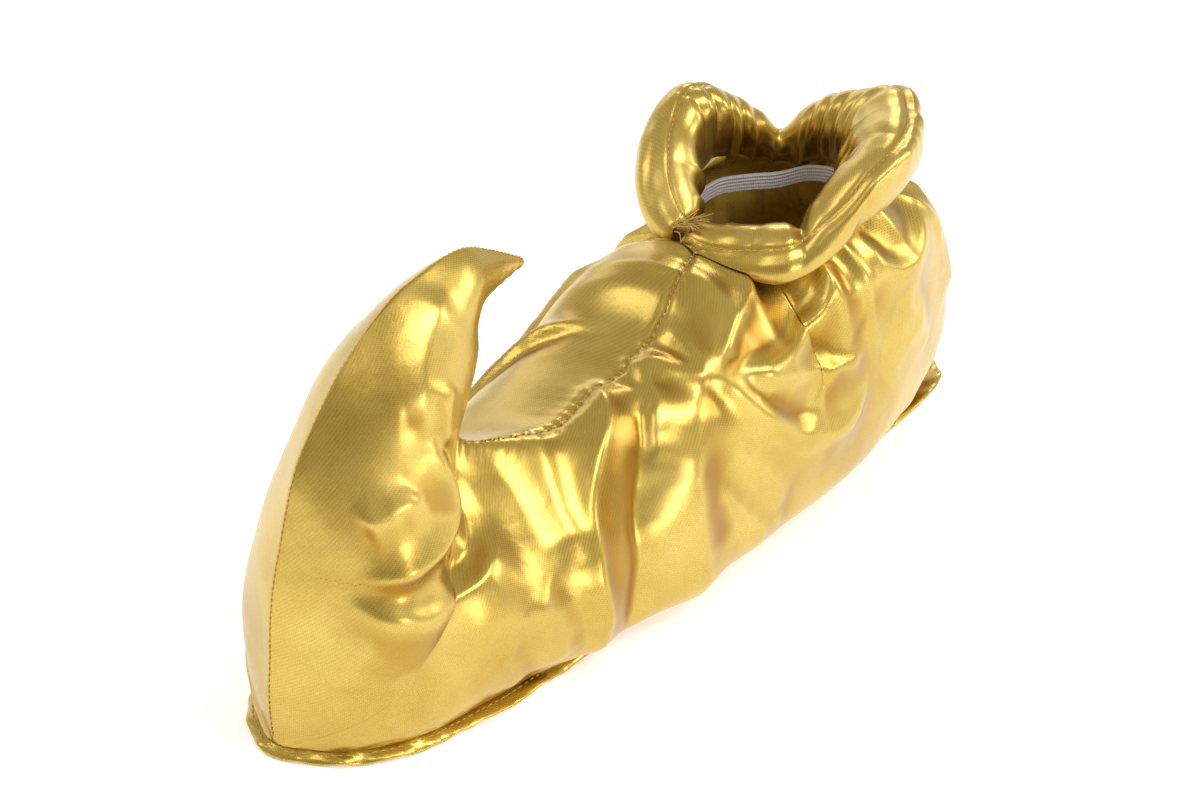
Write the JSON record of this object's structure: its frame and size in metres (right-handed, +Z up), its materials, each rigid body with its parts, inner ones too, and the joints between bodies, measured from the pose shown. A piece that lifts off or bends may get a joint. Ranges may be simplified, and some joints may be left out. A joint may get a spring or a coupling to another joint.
{
  "type": "costume overshoe",
  "caption": "Soft padded overshoe with a curled-up toe, a rolled collar split at the front, an elastic in the neck and a sewn-on sole.",
  "frame": {"origin": "on the floor under the middle of the sole", "axes": "+X towards the toe, +Y towards the wearer's left, +Z up"},
  "size_m": [0.36, 0.1096, 0.1543],
  "materials": {
    "gold_lame": "shiny foil-faced gold twill over padding",
    "elastic_white": "matt ribbed white elastic"
  },
  "bodies": {
    "root": {"upper": "gold_lame", "sole": "gold_lame", "collar": "gold_lame", "elastic": "elastic_white"}
  },
  "joints": []
}
